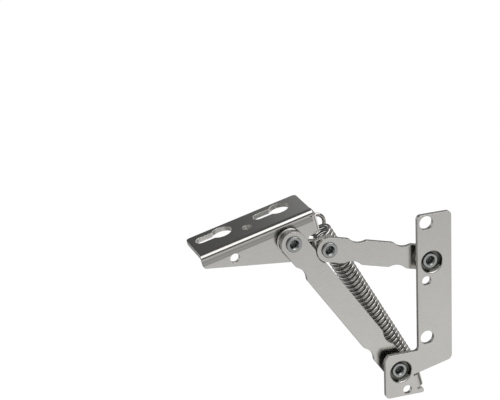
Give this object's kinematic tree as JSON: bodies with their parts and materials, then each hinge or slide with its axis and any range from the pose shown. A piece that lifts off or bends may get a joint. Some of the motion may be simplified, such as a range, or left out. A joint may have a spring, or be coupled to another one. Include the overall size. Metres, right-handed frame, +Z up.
{
  "type": "flap stay",
  "caption": "spring-loaded lift-up flap stay: a screwed base plate, two links and an angled flap bracket with keyholes, pulled over centre by an extension spring",
  "frame": {"origin": "midway between the two large screw holes of the base plate, on its mounting face", "axes": "+X from the flap towards the cabinet's inside, +Y away from the mounting face, +Z up along the base plate's strip"},
  "size_m": [0.1316, 0.0359, 0.108],
  "materials": {
    "plated_sheet": "satin nickel plate",
    "rivet_steel": "zinc plate",
    "spring_wire": "bright drawn wire"
  },
  "bodies": {
    "base": {"base_plate": "plated_sheet", "rivet_a": "rivet_steel", "rivet_b_tail": "rivet_steel"},
    "short_link_body": {"short_link": "plated_sheet"},
    "bracket": {"flap_bracket": "plated_sheet", "rivet_c": "rivet_steel", "rivet_d": "rivet_steel"},
    "long_link_body": {"long_link": "plated_sheet", "rivet_b_head": "rivet_steel"},
    "spring_coil": {"spring": "spring_wire"},
    "spring_top": {"spring_upper_loop": "spring_wire"}
  },
  "joints": [
    {"name": "fold", "type": "hinge", "parent": "base", "child": "short_link_body", "pos_m": [0.003, 0.00695, 0.01], "axis": [0, 1, 0], "range_deg": [0, 62.74], "stiffness_Nm_per_rad": 3.8},
    {"name": "flap_turn", "type": "hinge", "parent": "short_link_body", "child": "bracket", "pos_m": [-0.051, 0.00695, 0.024], "axis": [0, -1, 0], "range_deg": [0, 138.84]},
    {"name": "long_link_turn", "type": "hinge", "parent": "bracket", "child": "long_link_body", "pos_m": [-0.07, 0.00695, 0.0305], "axis": [0, 1, 0], "range_deg": [0, 107.72]},
    {"name": "spring_swing", "type": "hinge", "parent": "base", "child": "spring_coil", "pos_m": [-0.00257, 0.02, -0.05783], "axis": [0, 1, 0], "range_deg": [0, 20.32]},
    {"name": "spring_stretch", "type": "slide", "parent": "spring_coil", "child": "spring_top", "axis": [-0.4925, 0, 0.8703], "range_m": [0, 0.01651], "deforming": ["spring", "spring_upper_loop"]}
  ],
  "couplings": [
    {"joint": "flap_turn", "follows": "fold", "ratio": 2.2129},
    {"joint": "long_link_turn", "follows": "fold", "ratio": 1.7168},
    {"joint": "spring_swing", "follows": "fold", "ratio": 0.32388},
    {"joint": "spring_stretch", "follows": "fold", "m_per_rad": 0.015077}
  ]
}
